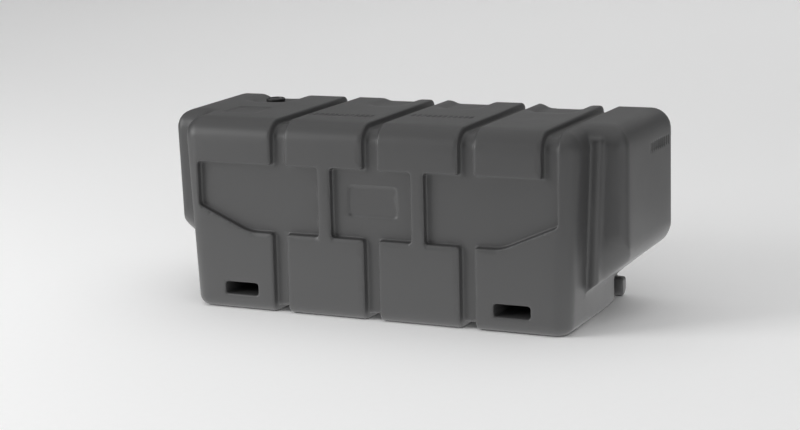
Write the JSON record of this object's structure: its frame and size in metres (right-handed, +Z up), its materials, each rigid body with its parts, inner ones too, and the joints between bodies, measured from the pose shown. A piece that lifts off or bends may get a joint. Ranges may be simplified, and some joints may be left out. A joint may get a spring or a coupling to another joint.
{
  "type": "water filled barrier",
  "caption": "Hollow moulded ballast block with strap grooves, raised end wings, a screw filler cap and a screw drain plug.",
  "frame": {"origin": "on the ground, under the middle of the block's bounding box", "axes": "+X along the length, towards the end with the short extra groove; +Y from the panelled front to the rear; +Z up"},
  "size_m": [1.5, 0.53, 0.58],
  "materials": {
    "shell_plastic": "satin moulded polyethylene with a fine skin texture",
    "insert_plastic": "plain moulded",
    "cap_plastic": "semi-matte moulded nylon",
    "seal_rubber": "matte",
    "insert_brass": "machined"
  },
  "bodies": {
    "block": {"moulded_shell": "shell_plastic", "filler_insert": "insert_plastic", "drain_insert": "insert_brass"},
    "cap_carrier": {"cap_gasket": "seal_rubber"},
    "cap": {"filler_cap": "cap_plastic"},
    "plug_carrier": {"drain_seal": "seal_rubber"},
    "plug": {"drain_plug": "cap_plastic"}
  },
  "joints": [
    {"name": "cap_rise", "type": "slide", "parent": "block", "child": "cap_carrier", "axis": [0, 0, 1], "range_m": [0, 0.014]},
    {"name": "cap_turn", "type": "hinge", "parent": "cap_carrier", "child": "cap", "pos_m": [-0.545, 0.175, 0.567], "axis": [0, 0, 1], "range_deg": [0, 2160]},
    {"name": "plug_rise", "type": "slide", "parent": "block", "child": "plug_carrier", "axis": [0, 1, 0], "range_m": [0, 0.011]},
    {"name": "plug_turn", "type": "hinge", "parent": "plug_carrier", "child": "plug", "pos_m": [0.153, 0.241, 0.056], "axis": [0, 1, 0], "range_deg": [0, 2160]}
  ],
  "couplings": [
    {"joint": "cap_rise", "follows": "cap_turn", "m_per_rad": 0.00036749},
    {"joint": "plug_rise", "follows": "plug_turn", "m_per_rad": 0.00028871}
  ]
}
